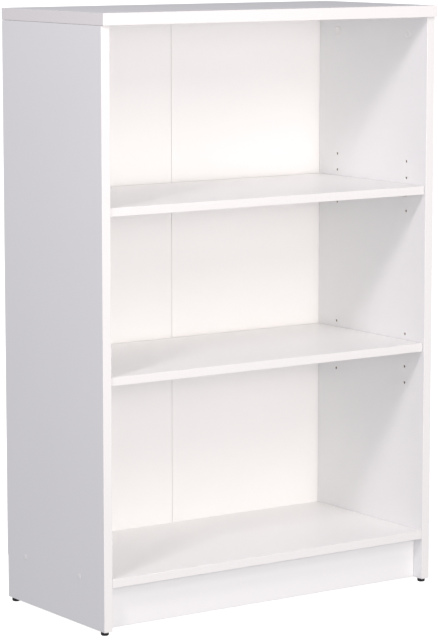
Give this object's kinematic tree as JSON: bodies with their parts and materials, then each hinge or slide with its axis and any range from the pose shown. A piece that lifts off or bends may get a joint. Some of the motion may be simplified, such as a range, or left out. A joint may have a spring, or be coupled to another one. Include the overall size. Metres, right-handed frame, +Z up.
{
  "type": "bookcase",
  "caption": "White melamine bookcase with adjustable shelves on pins, plinth, folding hardboard back and glide feet.",
  "frame": {"origin": "on the floor, under the middle of the overall outline", "axes": "+Z up, front faces -Y, +X to the right seen from the front"},
  "size_m": [0.7522, 0.3512, 1.12],
  "materials": {
    "white_melamine": "satin",
    "white_hardboard": "satin",
    "fold_tape": "matte",
    "nickel_steel": "satin",
    "zinc": "matte",
    "white_plastic": "gloss",
    "black_plastic": "gloss",
    "beech": "matte"
  },
  "bodies": {
    "carcass": {"top_panel": "white_melamine", "left_side_panel": "white_melamine", "right_side_panel": "white_melamine", "bottom_panel": "white_melamine", "plinth_board": "white_melamine", "back_leaf_left": "white_hardboard", "back_leaf_right": "white_hardboard", "back_fold_tape": "fold_tape", "cam_bolt_left_front": "nickel_steel", "cam_bolt_left_rear": "nickel_steel", "cam_bolt_right_front": "nickel_steel", "cam_bolt_right_rear": "nickel_steel", "cam_lock_left_front": "zinc", "cam_lock_left_rear": "zinc", "cam_lock_right_front": "zinc", "cam_lock_right_rear": "zinc", "cam_cap_left_front": "white_plastic", "cam_cap_left_rear": "white_plastic", "cam_cap_right_front": "white_plastic", "cam_cap_right_rear": "white_plastic", "top_dowel_left": "beech", "top_dowel_right": "beech", "plinth_dowel_left_lower": "beech", "plinth_dowel_left_upper": "beech", "plinth_dowel_right_lower": "beech", "plinth_dowel_right_upper": "beech", "screw_left_front": "zinc", "screw_left_rear": "zinc", "screw_right_front": "zinc", "screw_right_rear": "zinc", "screw_cap_left_front": "white_plastic", "screw_cap_left_rear": "white_plastic", "screw_cap_right_front": "white_plastic", "screw_cap_right_rear": "white_plastic", "glide_foot_left_front": "black_plastic", "glide_foot_left_rear": "black_plastic", "glide_foot_right_front": "black_plastic", "glide_foot_right_rear": "black_plastic", "back_nail_left_1": "zinc", "back_nail_left_2": "zinc", "back_nail_left_3": "zinc", "back_nail_left_4": "zinc", "back_nail_left_low_1": "zinc", "back_nail_left_low_2": "zinc", "back_nail_right_1": "zinc", "back_nail_right_2": "zinc", "back_nail_right_3": "zinc", "back_nail_right_4": "zinc", "back_nail_right_low_1": "zinc", "back_nail_right_low_2": "zinc"},
    "upper_shelf": {"upper_shelf": "white_melamine"},
    "lower_shelf": {"lower_shelf": "white_melamine"},
    "upper_pin_left_front": {"upper_pin_left_front": "nickel_steel"},
    "upper_pin_left_rear": {"upper_pin_left_rear": "nickel_steel"},
    "upper_pin_right_front": {"upper_pin_right_front": "nickel_steel"},
    "upper_pin_right_rear": {"upper_pin_right_rear": "nickel_steel"},
    "lower_pin_left_front": {"lower_pin_left_front": "nickel_steel"},
    "lower_pin_left_rear": {"lower_pin_left_rear": "nickel_steel"},
    "lower_pin_right_front": {"lower_pin_right_front": "nickel_steel"},
    "lower_pin_right_rear": {"lower_pin_right_rear": "nickel_steel"}
  },
  "joints": [
    {"name": "upper_shelf_pull_out", "type": "slide", "parent": "carcass", "child": "upper_shelf", "axis": [0, -1, 0], "range_m": [0, 0.36]},
    {"name": "lower_shelf_pull_out", "type": "slide", "parent": "carcass", "child": "lower_shelf", "axis": [0, -1, 0], "range_m": [0, 0.36]},
    {"name": "upper_pin_left_front_pull_out", "type": "slide", "parent": "carcass", "child": "upper_pin_left_front", "axis": [1, 0, 0], "range_m": [0, 0.016]},
    {"name": "upper_pin_left_rear_pull_out", "type": "slide", "parent": "carcass", "child": "upper_pin_left_rear", "axis": [1, 0, 0], "range_m": [0, 0.016]},
    {"name": "upper_pin_right_front_pull_out", "type": "slide", "parent": "carcass", "child": "upper_pin_right_front", "axis": [-1, 0, 0], "range_m": [0, 0.016]},
    {"name": "upper_pin_right_rear_pull_out", "type": "slide", "parent": "carcass", "child": "upper_pin_right_rear", "axis": [-1, 0, 0], "range_m": [0, 0.016]},
    {"name": "lower_pin_left_front_pull_out", "type": "slide", "parent": "carcass", "child": "lower_pin_left_front", "axis": [1, 0, 0], "range_m": [0, 0.016]},
    {"name": "lower_pin_left_rear_pull_out", "type": "slide", "parent": "carcass", "child": "lower_pin_left_rear", "axis": [1, 0, 0], "range_m": [0, 0.016]},
    {"name": "lower_pin_right_front_pull_out", "type": "slide", "parent": "carcass", "child": "lower_pin_right_front", "axis": [-1, 0, 0], "range_m": [0, 0.016]},
    {"name": "lower_pin_right_rear_pull_out", "type": "slide", "parent": "carcass", "child": "lower_pin_right_rear", "axis": [-1, 0, 0], "range_m": [0, 0.016]}
  ]
}
